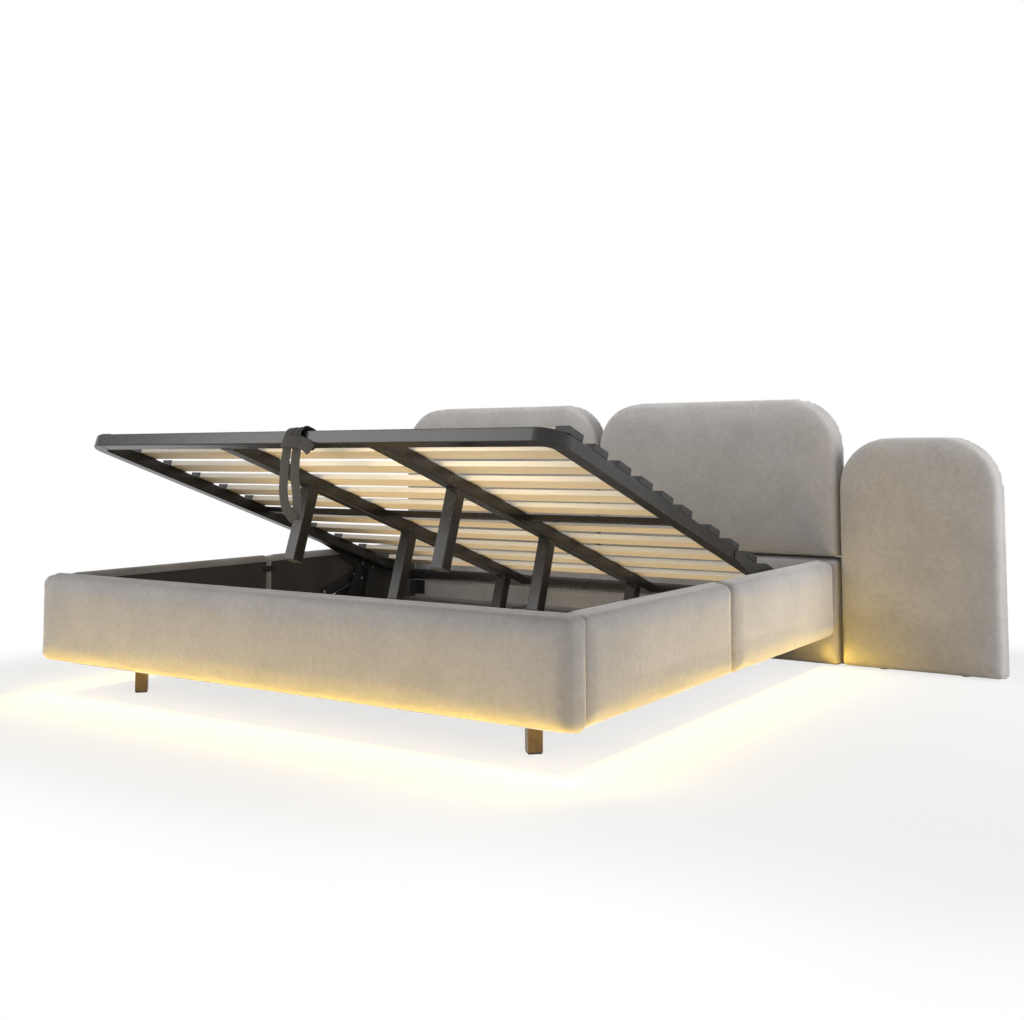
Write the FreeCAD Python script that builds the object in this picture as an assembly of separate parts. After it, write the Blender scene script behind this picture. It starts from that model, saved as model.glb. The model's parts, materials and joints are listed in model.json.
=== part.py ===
# Upholstered storage bed: padded rails round a storage box, a slatted deck on a
# gas-sprung four-bar lift, and a headboard with one more panel beside the bed.
# Millimetres. While modelling, X = 0 is the bed's centre line, Y = 0 the foot rail's
# outer face (head end at +Y) and Z = 0 the floor. The deck is built open.
import FreeCAD, Part
import math
import os

V = FreeCAD.Vector

# Bed box
mattress_w = 2020.0         # clear width between the side rails
mattress_l = 2000.0         # clear length from foot rail to headboard
rail_t = 75.0               # padded rail, over the cloth
rail_h = 304.0
rail_z = 114.0              # floor to the rails' underside
rail_seam = 1060.0          # foot face to the seam between the two side rail sections
seam_gap = 0.6              # where two padded pieces meet
soft_r = 28.0               # rounding of a rail's padded edge
corner_extra = 6.0          # a slab's corner, seen face on, is this much larger than its edge
back_r = 8.0                # rounding at the hidden edge of a padded slab
cloth_top = 28.0            # cloth turned over the inner face: top, ends and bottom
cloth_end = 14.0
cloth_bottom = 40.0
liner_t = 5.0               # dark board that closes the inner face
rail_core_t = 30.0          # board inside a rail
core_margin = 10.0          # the board stops this far inside the liner's edge

# Headboard
head_over = 5.0             # headboard past the side rails
pad_t = 105.0               # headboard panels, over the cloth
base_top = 424.0            # top of the low panel behind the box
pad_gap = 4.0               # dark line between headboard panels
pad_top = 1066.0            # top of the two tall pads
pad_corner = 200.0
side_panel_w = 607.0        # floor-standing panel at the right of the bed
side_panel_top = 903.0
panel_soft_r = 32.0
panel_corner_extra = 8.0
panel_core_t = 25.0
panel_core_margin = 45.0
batten_w = 80.0             # uprights that join the pads to the low panel
batten_t = 20.0
batten_z = 90.0             # floor to the uprights' lower end
batten_in = 166.0           # pad's top to the uprights' top
batten_at = 250.0           # uprights from the bed's centre line, and from the headboard's ends
tie_l = 220.0               # plates that tie the side panel to the low panel
tie_h = 60.0
tie_t = 4.0
tie_z = (110.0, 310.0)

# Feet, floor of the storage box and lights
glide_h = 5.0
glide_r = 16.0
glide_back = 30.0           # headboard's glides from its back
post_glide_in = 1.5         # a post's glide inside its outline
base_glide_at = 330.0       # glides from the bed's centre line
end_glide_in = 110.0        # and from the headboard's ends
side_glide_in = 150.0
leg_w = 42.0                # square post, set with a corner to the front
leg_turn = 45.0
leg_in_x = 267.0            # post's centre from the side face
leg_in_y = 241.0            # post's centre from the foot face
leg_plate_w = 110.0
leg_plate_t = 6.0
cleat_up = 2.0              # cleats above the rails' underside
cleat_w = 30.0
cleat_h = 30.0
bearer_w = 40.0
bearer_ahead = 496.0        # rear bearer ahead of the deck's last legs, closed
floor_t = 8.0
floor_gap = 2.0             # clearance round the floor panels
leg_slot = 10.0             # clearance each side of the deck's legs in the floor
light_w = 16.0              # light channel under the rails
light_h = 10.0
light_wall = 1.5
diffuser_t = 3.0
light_in = 79.0             # outer face of the rail to the channel, under the cleat
light_end = 20.0            # channel stops short of the cleats' ends
driver_size = (180.0, 45.0, 28.0)
driver_at = (-600.0, 1500.0)

# Brackets inside the box
bracket_w = 50.0
bracket_h = 66.0
bracket_t = 4.0
bracket_up = 51.0           # rails' underside to the corner brackets
joint_l = 76.0              # plates over the seams of the side rails
joint_h = 24.0
joint_t = 3.0
joint_down = 70.0           # rail's top to the plates' underside

# Deck frame, in its own axes: along from the foot end, height from the tubes' underside
tube_w = 48.0
tube_h = 43.0
tube_wall = 2.0
tube_r = 4.0                # outer rounding of the tubes
bend_r = 78.0               # outer radius of the foot corners
beam_x = 320.0
crossbar_at = 893.0
crossbar_w = 20.0
crossbar_h = 23.0
support_at = (480.0, 1084.0)
support_in = 162.0          # last support legs from the head end
cap_t = 4.0
cap_plug = 12.0
slat_w = 76.0
slat_t = 18.0
slat_r = 1.5
first_slat = 58.0           # foot edge to the first slat, and pitch to the crossbar
foot_pitch = 150.0
head_slat = 125.0           # crossbar to the first slat past it, and pitch from there
head_pitch = 175.0
holder_l = 45.0             # slat holder, across the bed
holder_wall = 1.5
holder_side = 2.5
holder_end = 10.0

# Open and closed place of the deck
open_angle = 18.4
closed_gap = 23.0           # foot rail to the deck's foot edge, closed
head_gap = 17.0             # deck to headboard, closed
head_shift = 99.2           # the deck's head edge moves this far to the foot as it opens
head_drop = 17.7            # and down by this
deck_rise = 152.0           # rails' underside to the deck's, closed
floor_clear = 1.0           # support legs above the floor, closed

# Lift: pivots from the deck's head end and underside, and arms
front_pivot_in = 345.0
rear_pivot_in = 268.0
pivot_drop = 12.0
front_reach = 190.0         # middle of a deck pivot's travel to its arm's base pivot
rear_reach = 141.0
front_arm_r = 16.0
rear_arm_r = 15.0
arm_t = 4.0
arm_gap = 1.0
deck_plate_t = 3.0          # bracket on the side tube
deck_plate_l = 355.0        # front pivot to the bracket's foot end
deck_plate_end = 70.0       # rear pivot to its head end
deck_plate_in = 8.0         # below the tube's top
deck_plate_r = 4.0
lift_plate_t = 4.0          # plate on the side rail
lift_plate_edge = 18.0      # a pivot or bolt to the plate's edge
lift_plate_r = 9.0
pin_r = 5.0
base_pin_r = 6.0
pin_head = 3.0              # head past the pin, all round
pin_head_t = 2.5
pin_fit = 0.05
rear_slack = 3.2            # play in the rear arm's upper eye
bolt_r = 7.0
bolt_t = 2.5

# Gas strut between the plate on the rail and the front arm's lever
strut_lever = 150.0         # the front arm's base pivot to each end of the strut
strut_base_angle = 45.0
strut_rod_angle = 170.0
strut_r = 8.0
strut_gap = 1.5             # strut to the arm and to the plate
rod_r = 4.0
rod_fit = 0.4
eye_r = 9.5
eye_t = 8.0
rod_stop = 29.0             # cylinder's mouth to the rod's eye, closed
rod_hold = 24.0             # rod inside the cylinder, open
bore_end = 15.0             # rod to the end of the bore, closed

# Pull strap on the foot tube
strap_w = 38.0
strap_t = 3.0
strap_at = 18.0             # strap right of the bed's centre line
strap_drop = 240.0          # foot tube to the end of the loop
strap_gap = 2.0             # between the two hanging strands
hand_w = 14.0               # widest place of the gap, and its length
hand_l = 100.0
knot_t = 4.0                # band across the front of the knot
knot_in = 17.0              # knot below the tube's top
knot_drop = 9.0             # knot below the tube
tail_l = 46.0
tail_angle = 32.0

# Worked-out places
bed_w = mattress_w + 2 * rail_t
head_w = bed_w + 2 * head_over
rail_in = mattress_w / 2
rail_top = rail_z + rail_h
head_y = rail_t + mattress_l
head_back = head_y + pad_t
side_panel_x = head_w / 2 + pad_gap
side_panel_right = side_panel_x + side_panel_w
cleat_z = rail_z + cleat_up
floor_z = cleat_z + cleat_h
plate_x = rail_in - lift_plate_t
strut_x = plate_x - strut_gap - strut_r
arm_x = strut_x - strut_r - strut_gap - arm_t
deck_half = arm_x - arm_gap - deck_plate_t
deck_l = mattress_l - closed_gap - head_gap
closed_y = rail_t + closed_gap
closed_z = rail_z + deck_rise
open_turn = math.radians(open_angle)
open_y = closed_y + deck_l * (1 - math.cos(open_turn)) - head_shift
open_z = closed_z + deck_l * math.sin(open_turn) - head_drop
support_l = closed_z - floor_clear
bearer_y = (closed_y + sum(support_at) / 2, closed_y + deck_l - support_in - bearer_ahead)
x_mid = (side_panel_right - head_w / 2) / 2
y_mid = (head_back + batten_t) / 2

nodes = {}


def box(x0, x1, y0, y1, z0, z1):
    return Part.makeBox(x1 - x0, y1 - y0, z1 - z0, V(x0, y0, z0))


def disc(r, x0, x1, y, z):
    """Round bar along X."""
    return Part.makeCylinder(r, x1 - x0, V(x0, y, z), V(1, 0, 0))


def placed(shape, angle, x, y, z):
    """A copy turned about the upright axis, then moved."""
    s = shape.copy()
    s.rotate(V(0, 0, 0), V(0, 0, 1), angle)
    s.translate(V(x, y, z))
    return s


def mirrored(shape):
    return shape.mirror(V(0, 0, 0), V(1, 0, 0))


def both_sides(shapes):
    return shapes + [mirrored(s) for s in shapes]


def rounded_outline(w, h, low, high):
    """Face in XZ from (0, 0) to (w, h), with its low and high corner radii."""
    corners = [
        (V(w, 0, 0), V(-1, 0, 0), V(0, 0, 1), low),
        (V(w, 0, h), V(0, 0, -1), V(-1, 0, 0), high),
        (V(0, 0, h), V(1, 0, 0), V(0, 0, -1), high),
        (V(0, 0, 0), V(0, 0, 1), V(1, 0, 0), low),
    ]
    edges = []
    last = V(low, 0, 0)
    for corner, back, on, r in corners:
        start, end = corner + back * r, corner + on * r
        middle = corner + (back + on) * (r * (1 - math.sqrt(0.5)))
        edges.append(Part.LineSegment(last, start).toShape())
        edges.append(Part.Arc(start, middle, end).toShape())
        last = end
    return Part.Face(Part.Wire(edges))


def padded_slab(w, h, t, low, high, front_r):
    """Padded slab facing -Y, with a soft front edge and a tighter back edge."""
    slab = rounded_outline(w, h, low, high).extrude(V(0, t, 0))
    slab = slab.makeFillet(front_r, [e for e in slab.Edges if e.BoundBox.YMax < t / 2])
    back = [e for e in slab.Edges if e.BoundBox.YLength < t / 2 and e.CenterOfMass.y > t - front_r / 2]
    return slab.makeFillet(back_r, back)


def rail(length):
    """Padded rail section along X: cover, inner board and the liner that closes it."""
    corner = soft_r + corner_extra
    slab = padded_slab(length, rail_h, rail_t, corner, corner, soft_r)
    y_liner = rail_t - liner_t
    ends = (cloth_end, length - cloth_end)
    heights = (cloth_bottom, rail_h - cloth_top)
    liner = box(*ends, y_liner, rail_t, *heights)
    core = box(ends[0] + core_margin, ends[1] - core_margin, y_liner - rail_core_t, y_liner,
               heights[0] + core_margin, heights[1] - core_margin)
    return slab.cut(liner).cut(core), core, liner


def make_rails():
    cover, core, liner = [placed(s, 0, -bed_w / 2, 0, rail_z) for s in rail(bed_w)]
    nodes["foot_rail_cover"] = [cover]
    nodes["foot_rail_core"] = [core]
    nodes["foot_rail_liner"] = [liner]
    spans = {
        "front": (rail_t + seam_gap, rail_seam - seam_gap / 2),
        "rear": (rail_seam + seam_gap / 2, head_y - seam_gap),
    }
    liners = {"right": [], "left": []}
    for name, (start, end) in spans.items():
        pieces = [placed(s, 90, bed_w / 2, start, rail_z) for s in rail(end - start)]
        for side in liners:
            cover, core, liner = pieces if side == "right" else [mirrored(s) for s in pieces]
            nodes[side + "_" + name + "_rail_cover"] = [cover]
            nodes[side + "_" + name + "_rail_core"] = [core]
            liners[side].append(liner)
    for side, pieces in liners.items():
        nodes[side + "_rail_liners"] = pieces


def angle_bracket(y, inward):
    """Corner bracket: one leaf on the right rail, one on the end panel."""
    z = (rail_z + bracket_up, rail_z + bracket_up + bracket_h)
    on_rail = box(rail_in - bracket_t, rail_in, *sorted((y, y + inward * bracket_w)), *z)
    on_end = box(rail_in - bracket_w, rail_in - bracket_t, *sorted((y, y + inward * bracket_t)), *z)
    return on_rail.fuse(on_end).removeSplitter()


def make_box_fittings():
    nodes["corner_brackets"] = both_sides([angle_bracket(rail_t, 1), angle_bracket(head_y, -1)])
    low = rail_top - joint_down
    ys = (rail_seam - joint_l / 2, rail_seam + joint_l / 2)
    plate = box(rail_in - joint_t, rail_in, *ys, low, low + joint_h)
    nodes["rail_joint_plates"] = both_sides([plate])


def make_floor():
    z = (cleat_z, floor_z)
    inner = rail_in - cleat_w
    frame = both_sides([box(inner, rail_in, rail_t, head_y, *z)])
    crossings = [(rail_t, cleat_w), (head_y - cleat_w, cleat_w), (leg_in_y - leg_plate_w / 2, leg_plate_w)]
    crossings += [(y - bearer_w / 2, bearer_w) for y in bearer_y]
    for y, w in crossings:
        frame.append(box(-inner, inner, y, y + w, *z))
    nodes["floor_frame"] = frame
    ys = (rail_t + floor_gap, head_y - floor_gap)
    zs = (floor_z, floor_z + floor_t)
    slot = tube_w / 2 + leg_slot
    side = box(beam_x + slot, plate_x - floor_gap, *ys, *zs)
    nodes["floor_panels"] = both_sides([side]) + [box(slot - beam_x, beam_x - slot, *ys, *zs)]
    x, y = driver_at
    dx, dy, dz = driver_size
    nodes["light_driver"] = [box(x, x + dx, y, y + dy, floor_z - dz, floor_z)]


def square(half, z0, z1):
    return box(-half, half, -half, half, z0, z1)


def make_feet():
    x = bed_w / 2 - leg_in_x
    top = cleat_z - leg_plate_t
    post = placed(square(leg_w / 2, glide_h, top), leg_turn, 0, 0, 0)
    leg = post.fuse(square(leg_plate_w / 2, top, cleat_z))
    leg.translate(V(x, leg_in_y, 0))
    nodes["foot_legs"] = both_sides([leg])
    glide = placed(square(leg_w / 2 - post_glide_in, 0, glide_h), leg_turn, x, leg_in_y, 0)
    y = head_back - glide_back
    spots = [base_glide_at, head_w / 2 - end_glide_in]
    spots += [-at for at in spots] + [side_panel_x + side_glide_in, side_panel_right - side_glide_in]
    round_glides = [Part.makeCylinder(glide_r, glide_h, V(at, y, 0)) for at in spots]
    nodes["floor_glides"] = both_sides([glide]) + round_glides


def light_run(length):
    """Light channel and its diffuser along X, hung from Z = 0."""
    inside = (0, length, light_wall, light_w - light_wall)
    channel = box(0, length, 0, light_w, -light_h, 0).cut(box(*inside, -light_h, -light_wall))
    return [channel, box(*inside, -light_h, diffuser_t - light_h)]


def make_lights():
    half = rail_in - light_end
    start = rail_t + cleat_w + light_end
    foot = [placed(s, 0, -half, light_in, cleat_z) for s in light_run(2 * half)]
    side = [placed(s, 90, bed_w / 2 - light_in, start, cleat_z) for s in light_run(head_y - light_end - start)]
    nodes["light_channels"] = [foot[0]] + both_sides(side[:1])
    nodes["light_diffusers"] = [foot[1]] + both_sides(side[1:])


def head_panel(name, x0, x1, z0, z1, high):
    """Padded headboard panel with its board let into the back."""
    w, h = x1 - x0, z1 - z0
    low = panel_soft_r + panel_corner_extra
    m = panel_core_margin
    slab = padded_slab(w, h, pad_t, low, high, panel_soft_r)
    board = rounded_outline(w - 2 * m, h - 2 * m, low, max(high - m, low)).extrude(V(0, panel_core_t, 0))
    board.translate(V(m, pad_t - panel_core_t, m))
    nodes[name + "_cover"] = [placed(slab.cut(board), 0, x0, head_y, z0)]
    nodes[name + "_core"] = [placed(board, 0, x0, head_y, z0)]


def make_headboard():
    half, gap = head_w / 2, pad_gap / 2
    pad_z = base_top + pad_gap
    head_panel("headboard_base", -half, half, glide_h, base_top, panel_soft_r + panel_corner_extra)
    head_panel("left_head_pad", -half, -gap, pad_z, pad_top, pad_corner)
    head_panel("right_head_pad", gap, half, pad_z, pad_top, pad_corner)
    head_panel("side_head_panel", side_panel_x, side_panel_right, glide_h, side_panel_top, pad_corner)
    ys = (head_back, head_back + batten_t)
    zs = (batten_z, pad_top - batten_in)
    battens = [box(x - batten_w / 2, x + batten_w / 2, *ys, *zs) for x in (batten_at, half - batten_at)]
    nodes["headboard_battens"] = both_sides(battens)
    seam = half + gap
    xs = (seam - tie_l / 2, seam + tie_l / 2)
    nodes["side_panel_ties"] = [box(*xs, head_back, head_back + tie_t, z, z + tie_h) for z in tie_z]


def deck_point(along, height):
    """Y and Z of a deck point in the open pose."""
    c, s = math.cos(open_turn), math.sin(open_turn)
    y = open_y + along * c + height * s
    z = open_z - along * s + height * c
    return y, z


def on_deck(shapes):
    """Copies of deck pieces, from the deck's own axes to the open pose."""
    tilted = [s.copy() for s in shapes]
    for s in tilted:
        s.rotate(V(0, 0, 0), V(1, 0, 0), -open_angle)
        s.translate(V(0, open_y, open_z))
    return tilted


def tube(low, high, axis):
    """Box tube between two corners, open at its ends along one axis."""
    wall = V(tube_wall, tube_wall, tube_wall)
    wall[axis] = 0
    size, inside = high - low, high - low - wall * 2
    outer = Part.makeBox(*size, low)
    along = V(*[1.0 if i == axis else 0.0 for i in range(3)])
    outer = outer.makeFillet(tube_r, [e for e in outer.Edges if abs(e.tangentAt(0).dot(along)) > 0.5])
    return outer.cut(Part.makeBox(*inside, low + wall))


def corner_bend():
    """Quarter bend from the foot tube to the right side tube."""
    at = V(deck_half - bend_r, bend_r, 0)

    def quarter(r, inset):
        part = Part.makeCylinder(r, tube_h - 2 * inset, at + V(0, 0, inset), V(0, 0, 1), 90)
        part.rotate(at, V(0, 0, 1), -90)
        return part

    outer = quarter(bend_r, 0).cut(quarter(bend_r - tube_w, 0))
    outer = outer.makeFillet(tube_r, [e for e in outer.Edges if e.Curve.TypeId == "Part::GeomCircle"])
    hollow = quarter(bend_r - tube_wall, tube_wall).cut(quarter(bend_r - tube_w + tube_wall, tube_wall))
    return outer.cut(hollow)


def make_deck_frame():
    inner, straight = deck_half - tube_w, deck_half - bend_r
    nodes["foot_tube"] = on_deck([tube(V(-straight, 0, 0), V(straight, tube_w, tube_h), 0)])
    nodes["corner_bends"] = on_deck(both_sides([corner_bend()]))
    side = tube(V(inner, bend_r, 0), V(deck_half, deck_l, tube_h), 1)
    nodes["right_side_tube"] = on_deck([side])
    nodes["left_side_tube"] = on_deck([mirrored(side)])
    nodes["head_tube"] = on_deck([tube(V(-inner, deck_l - tube_w, 0), V(inner, deck_l, tube_h), 0)])
    near, far = beam_x - tube_w / 2, beam_x + tube_w / 2
    beam = tube(V(near, tube_w, 0), V(far, deck_l - tube_w, tube_h), 1)
    nodes["deck_beams"] = on_deck(both_sides([beam]))
    low, high = tube_h - crossbar_h, crossbar_at + crossbar_w
    outer = tube(V(far, crossbar_at, low), V(inner, high, tube_h), 0)
    middle = tube(V(-near, crossbar_at, low), V(near, high, tube_h), 0)
    nodes["crossbar"] = on_deck(both_sides([outer]) + [middle])


def make_supports():
    half = tube_w / 2
    plug = half - tube_wall
    low = cap_t - support_l
    legs, caps = [], []
    for at in support_at + (deck_l - support_in,):
        leg = tube(V(-half, -half, low), V(half, half, 0), 2)
        cap = square(half, -support_l, low).fuse(square(plug, low, low + cap_plug))
        legs.append(placed(leg, 0, beam_x, at, 0))
        caps.append(placed(cap, 0, beam_x, at, 0))
    nodes["support_legs"] = on_deck(both_sides(legs))
    nodes["support_leg_caps"] = on_deck(both_sides(caps))


def slat_places():
    """Front edges of the slats: even spacing up to the crossbar, wider past it."""
    past = crossbar_at + crossbar_w + head_slat
    runs = [(first_slat, crossbar_at, foot_pitch), (past, deck_l - tube_w, head_pitch)]
    places = []
    for first, end, pitch in runs:
        count = math.floor((end - slat_w - first) / pitch) + 1
        places += [first + pitch * i for i in range(count)]
    return places


def make_slats():
    end = deck_half - holder_end
    low = tube_h + holder_wall
    slats, holders = [], []
    for at in slat_places():
        slat = box(-end, end, at, at + slat_w, low, low + slat_t)
        slat = slat.makeFillet(slat_r, [e for e in slat.Edges if e.BoundBox.XLength > end])
        sides = (at - holder_side, at + slat_w + holder_side)
        block = box(deck_half - holder_l, deck_half, *sides, tube_h, low + slat_t + holder_wall)
        slats.append(slat)
        holders.append(block.cut(slat))
    nodes["slats"] = on_deck(slats)
    nodes["right_slat_holders"] = on_deck(holders)
    nodes["left_slat_holders"] = on_deck([mirrored(h) for h in holders])


def lift_arm(pivot_in, reach):
    """An arm's base and deck pivots and its swing: both ends of the travel lie on one circle."""
    along = deck_l - pivot_in
    y1, z1 = deck_point(along, -pivot_drop)
    y0, z0 = closed_y + along, closed_z - pivot_drop
    chord = math.hypot(y1 - y0, z1 - z0)
    base_y = (y0 + y1) / 2 - (z1 - z0) / chord * reach
    base_z = (z0 + z1) / 2 + (y1 - y0) / chord * reach
    return (base_y, base_z), (y1, z1), 2 * math.degrees(math.atan(chord / 2 / reach))


def pivots():
    """The lift's pivots in the open pose, with the arms' swing in degrees."""
    at = {}
    at["front_base"], at["front_deck"], at["front_swing"] = lift_arm(front_pivot_in, front_reach)
    at["rear_base"], at["rear_deck"], at["rear_swing"] = lift_arm(rear_pivot_in, rear_reach)
    y, z = at["front_base"]
    for name, angle in (("strut_base", strut_base_angle), ("strut_rod", strut_rod_angle)):
        a = math.radians(angle)
        at[name] = (y + strut_lever * math.cos(a), z + strut_lever * math.sin(a))
    return at


def flat_plate(points, x0, x1, r):
    """Flat plate on a YZ outline, with rounded corners."""
    loop = [V(x0, *p) for p in points]
    plate = Part.Face(Part.makePolygon(loop + loop[:1])).extrude(V(x1 - x0, 0, 0))
    return plate.makeFillet(r, [e for e in plate.Edges if e.BoundBox.XLength > (x1 - x0) / 2])


def bar(p, q, r):
    """Flat bar in the arms' layer between two pivots, with round ends."""
    x = (arm_x, arm_x + arm_t)
    flat = box(*x, 0, math.dist(p, q), -r, r)
    flat.rotate(V(0, 0, 0), V(1, 0, 0), math.degrees(math.atan2(q[1] - p[1], q[0] - p[0])))
    flat.translate(V(0, *p))
    return flat.fuse(disc(r, *x, *p)).fuse(disc(r, *x, *q)).removeSplitter()


def make_lift_plates(at):
    """Plates on the side rails, with their bolts and the fixed pins."""
    edge = lift_plate_edge
    low, high = at["front_base"][1] - edge, at["strut_base"][1] + 2 * edge
    head = at["rear_base"][0] + 4 * edge
    tip, tip_z = at["strut_rod"][0], at["strut_rod"][1] + 2 * edge
    fold = at["strut_base"][0] - 2 * edge
    outline = [(tip, tip_z - edge), (tip, tip_z + edge), (fold, high), (head, high), (head, low),
               (at["front_base"][0] - edge, low)]
    plate = flat_plate(outline, plate_x, rail_in, lift_plate_r)
    bolts = [(tip + edge, tip_z), (head - edge, high - edge), (head - edge, low + edge), (fold, high - edge)]
    nodes["right_lift_plate"] = [plate]
    nodes["left_lift_plate"] = [mirrored(plate)]
    nodes["lift_plate_bolts"] = both_sides([disc(bolt_r, plate_x - bolt_t, plate_x, *b) for b in bolts])
    held = [("front_base", base_pin_r, arm_x), ("rear_base", base_pin_r, arm_x),
            ("strut_base", pin_r, strut_x - eye_t / 2)]
    pins = []
    for name, r, inner in held:
        clip = disc(r + pin_head, inner - arm_gap / 2 - pin_head_t, inner - arm_gap / 2, *at[name])
        pins.append(disc(r, inner - arm_gap / 2, plate_x, *at[name]).fuse(clip))
    nodes["lift_plate_pins"] = both_sides(pins)


def make_deck_plates(at):
    """Brackets on the side tubes, with the pins that carry the deck."""
    low = -pivot_drop - front_arm_r
    front, rear = deck_l - front_pivot_in, deck_l - rear_pivot_in
    top = tube_h - deck_plate_in
    tip, end = front - deck_plate_l, rear + deck_plate_end
    outline = [(tip, deck_plate_in), (tip, top), (end, top), (end, low / 2), (rear - low, low),
               (front + low, low)]
    plate = on_deck([flat_plate(outline, deck_half, deck_half + deck_plate_t, deck_plate_r)])[0]
    pins = []
    for name in ("front_deck", "rear_deck"):
        plate = plate.cut(disc(pin_r + pin_fit, deck_half, arm_x, *at[name]))
        outer = arm_x + arm_t + arm_gap / 2
        pin = disc(pin_r, deck_half, outer, *at[name])
        pin = pin.fuse(disc(pin_r + pin_head, deck_half - pin_head_t, deck_half, *at[name]))
        pins.append(pin.fuse(disc(pin_r + pin_head, outer, outer + pin_head_t, *at[name])))
    nodes["deck_brackets"] = both_sides([plate])
    nodes["deck_bracket_pins"] = both_sides(pins)


def front_arm(at):
    """Cranked arm from base pivot to deck pivot, with a lever and stud for the strut."""
    base, deck, lever = at["front_base"], at["front_deck"], at["strut_rod"]
    end = arm_x + arm_t
    arm = bar(base, deck, front_arm_r).fuse(bar(base, lever, front_arm_r)).removeSplitter()
    arm = arm.cut(disc(base_pin_r + pin_fit, arm_x, end, *base)).cut(disc(pin_r + pin_fit, arm_x, end, *deck))
    outer = strut_x + eye_t / 2 + arm_gap / 2
    clip = disc(pin_r + pin_head, outer, outer + pin_head_t, *lever)
    return arm.fuse(disc(pin_r, end, outer, *lever)).fuse(clip)


def rear_arm(at):
    end = arm_x + arm_t
    arm = bar(at["rear_base"], at["rear_deck"], rear_arm_r)
    arm = arm.cut(disc(base_pin_r + pin_fit, arm_x, end, *at["rear_base"]))
    return arm.cut(disc(pin_r + rear_slack, arm_x, end, *at["rear_deck"]))


def along_strut(start, end, first, last, r):
    """Round bar on the line from start to end, between two distances from start."""
    way = V(0, end[0] - start[0], end[1] - start[1]).normalize()
    return Part.makeCylinder(r, last - first, V(strut_x, *start) + way * first, way)


def gas_strut(at):
    """Cylinder held by the plate on the rail, and rod held by the front arm, on one line."""
    base, lever = at["strut_base"], at["strut_rod"]
    half_angle = math.radians(strut_rod_angle - strut_base_angle) / 2
    open_l = 2 * strut_lever * math.sin(half_angle)
    closed_l = 2 * strut_lever * math.sin(half_angle - math.radians(at["front_swing"]) / 2)
    mouth = closed_l - rod_stop
    rod_l = open_l - mouth + rod_hold
    x = (strut_x - eye_t / 2, strut_x + eye_t / 2)
    cylinder = disc(eye_r, *x, *base).fuse(along_strut(base, lever, eye_r / 2, 2 * eye_r, rod_r))
    cylinder = cylinder.fuse(along_strut(base, lever, 2 * eye_r, mouth, strut_r))
    cylinder = cylinder.cut(disc(pin_r + pin_fit, *x, *base))
    bore = along_strut(base, lever, closed_l - rod_l - bore_end, mouth, rod_r + rod_fit)
    rod = disc(eye_r, *x, *lever).fuse(along_strut(lever, base, eye_r / 2, rod_l, rod_r))
    return cylinder.cut(bore), rod.cut(disc(pin_r + pin_fit, *x, *lever))


def make_lift():
    at = pivots()
    make_lift_plates(at)
    make_deck_plates(at)
    cylinder, rod = gas_strut(at)
    pieces = {"front_arm": front_arm(at), "rear_arm": rear_arm(at), "gas_cylinder": cylinder, "gas_rod": rod}
    for name, piece in pieces.items():
        nodes["right_" + name] = [piece]
        nodes["left_" + name] = [mirrored(piece)]


def make_knot():
    """Strap wound round the foot tube, with a band across its front and a loose tail."""
    half, t = strap_w / 2, strap_t
    front = -t - knot_t
    wrap = box(-half, half, -t, tube_w + t, -t, tube_h + t).cut(box(-half, half, 0, tube_w, 0, tube_h))
    band_half = strap_w + strap_gap / 2
    band = box(-band_half, band_half, front, -t, -knot_drop, tube_h - knot_in)
    band = band.makeFillet(knot_t / 2, [e for e in band.Edges if e.BoundBox.YMax < -t])
    tail = box(0, tail_l, 0, strap_t, -strap_w, 0)
    tail.rotate(V(0, 0, 0), V(0, 1, 0), tail_angle)
    tail.translate(V(band_half - t, front, tube_h - knot_in - t))
    knot = wrap.fuse(band).fuse(tail)
    knot.translate(V(strap_at, 0, 0))
    nodes["strap_knot"] = on_deck([knot])


def lens(w, length):
    """Upright lens in XZ, centred on the origin."""
    ends = (V(0, 0, length / 2), V(0, 0, -length / 2))
    arcs = [Part.Arc(ends[0], V(side * w / 2, 0, 0), ends[1]).toShape() for side in (1, -1)]
    return Part.Face(Part.Wire(arcs))


def make_strap():
    """Hand loop: two strands side by side that meet in a round end, hung straight down."""
    half, gap = strap_w + strap_gap / 2, strap_gap / 2
    length = strap_drop - knot_drop
    middle = half + hand_l / 2 - length
    loop = rounded_outline(2 * half, length, half - strap_t, strap_t).extrude(V(0, strap_t, 0))
    loop.translate(V(-half, 0, -length))
    hand = lens(hand_w, hand_l).extrude(V(0, strap_t, 0))
    hand.translate(V(0, 0, middle))
    loop = loop.cut(hand).cut(box(-gap, gap, 0, strap_t, middle, 0))
    y, z = deck_point(-strap_t, -knot_drop)
    loop.translate(V(strap_at, y - strap_t / 2, z))
    nodes["pull_strap"] = [loop]


def save():
    os.makedirs("parts", exist_ok=True)
    for name, shapes in nodes.items():
        shape = shapes[0] if len(shapes) == 1 else Part.makeCompound(shapes)
        shape.translate(V(-x_mid, -y_mid, 0))
        shape.exportStep("parts/" + name + ".step")


make_rails()
make_box_fittings()
make_floor()
make_feet()
make_lights()
make_headboard()
make_deck_frame()
make_supports()
make_slats()
make_lift()
make_knot()
make_strap()
save()
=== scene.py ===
import json
import math

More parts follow.
